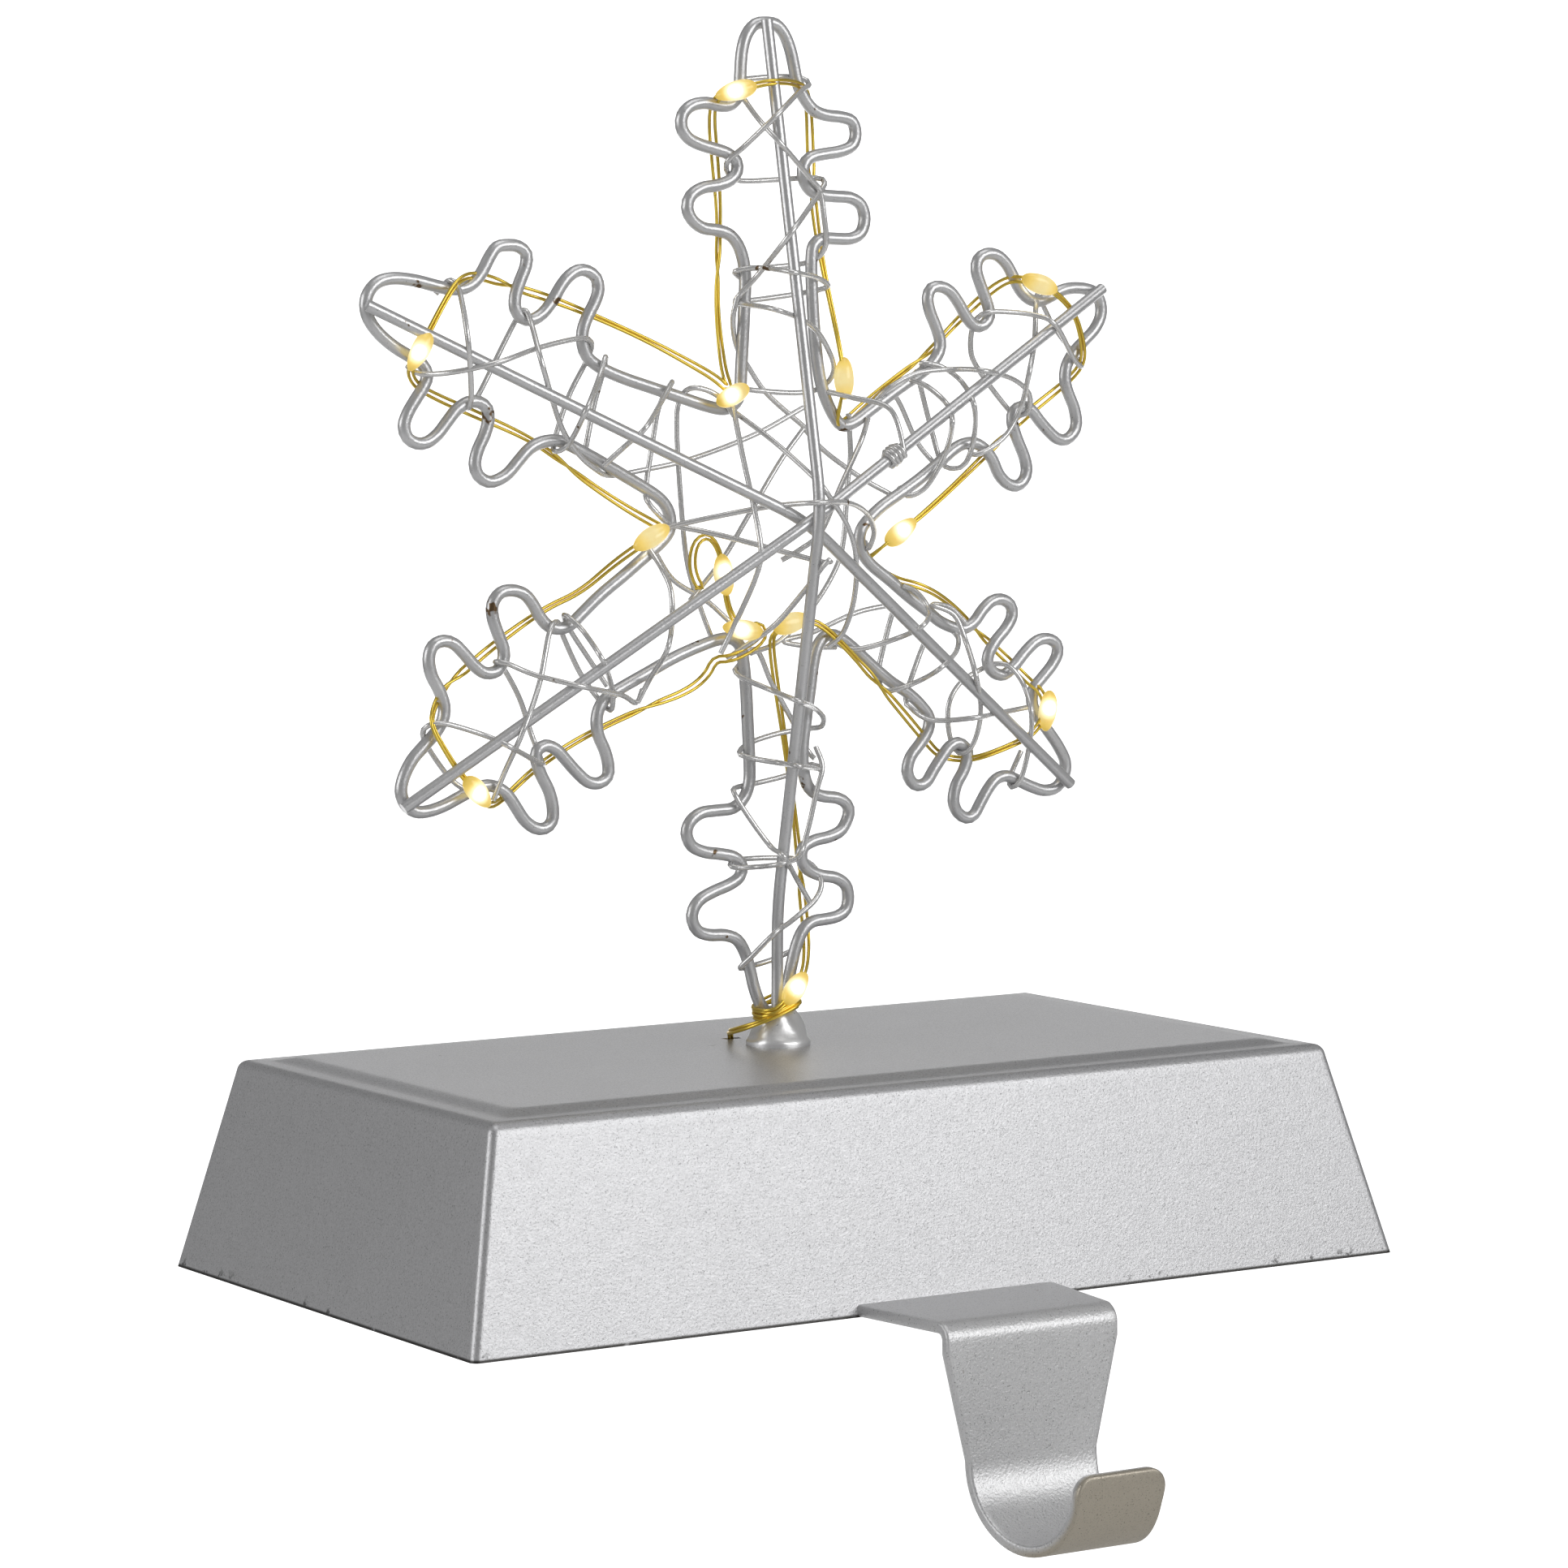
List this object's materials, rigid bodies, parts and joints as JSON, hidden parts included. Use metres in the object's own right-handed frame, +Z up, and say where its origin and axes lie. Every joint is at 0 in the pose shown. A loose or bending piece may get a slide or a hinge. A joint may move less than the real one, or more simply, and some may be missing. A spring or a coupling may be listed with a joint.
{
  "type": "mantel stocking holder",
  "caption": "Weighted rectangular base for a mantel with a stocking hook under its front edge and an upright wire snowflake carrying a string of small lamps.",
  "frame": {"origin": "on the mantel face, under the middle of the base", "axes": "+Z up from the mantel, +X along the base's long side to the viewer's right, -Y forwards over the mantel's edge, where the hook hangs"},
  "size_m": [0.15, 0.129, 0.2057],
  "materials": {
    "silver_paint": "fine metallic silver paint, satin",
    "hook_paint": "fine metallic silver paint, satin",
    "plate_black": "matte black moulded plastic",
    "pad_black": "matte black foam rubber",
    "steel": "zinc-plated steel, satin",
    "weight_iron": "rough grey cast iron",
    "tray_plastic": "matte black moulded plastic",
    "cell_wrap": "dark printed sleeve, glossy",
    "contact_nickel": "nickel-plated spring sheet",
    "switch_black": "matte black moulded plastic",
    "board_green": "green lacquered glass-fibre board",
    "resistor": "tan lacquer",
    "lead_black": "black insulation",
    "lead_red": "red insulation",
    "solder": "dull solder and silver paint, uneven",
    "wire_silver": "silver-painted steel wire, slightly worn",
    "rod_silver": "silver-painted steel rod, slightly worn",
    "binding_silver": "bright thin binding wire",
    "lamp_enamel": "clear enamel on fine copper-gold wire",
    "lamp_drop": "clear resin drop, lit warm white"
  },
  "bodies": {
    "holder": {"base_shell": "silver_paint", "bottom_plate": "plate_black", "mantel_pad": "pad_black", "hook_strip": "hook_paint", "hook_screws": "steel", "hook_nuts": "steel", "plate_screws": "steel", "weight_left": "weight_iron", "weight_right": "weight_iron", "battery_tray": "tray_plastic", "cell_front": "cell_wrap", "cell_rear": "cell_wrap", "contact_bridge": "contact_nickel", "contact_negative": "contact_nickel", "contact_positive": "contact_nickel", "switch_housing": "switch_black", "control_board": "board_green", "board_resistor": "resistor", "lead_negative": "lead_black", "lead_positive": "lead_red", "foot_cone": "solder", "foot_stud": "steel", "foot_washer": "steel", "foot_nut": "steel", "snowflake_outline": "wire_silver", "ridge_rod_upright": "rod_silver", "ridge_rod_rising": "rod_silver", "ridge_rod_falling": "rod_silver", "lamp_wires": "lamp_enamel", "lamps": "lamp_drop", "binding_wire_top": "binding_silver", "binding_wire_upper_left": "binding_silver", "binding_wire_lower_left": "binding_silver", "binding_wire_bottom": "binding_silver", "binding_wire_lower_right": "binding_silver", "binding_wire_upper_right": "binding_silver", "binding_wire_centre": "binding_silver"},
    "cover": {"battery_cover": "tray_plastic"},
    "slider": {"switch_slider": "switch_black"}
  },
  "joints": [
    {"name": "cover_hinge", "type": "hinge", "parent": "holder", "child": "cover", "pos_m": [0, 0.0356, 0.0012], "axis": [1, 0, 0], "range_deg": [0, 90]},
    {"name": "switch_slide", "type": "slide", "parent": "holder", "child": "slider", "axis": [1, 0, 0], "range_m": [0, 0.002]}
  ]
}
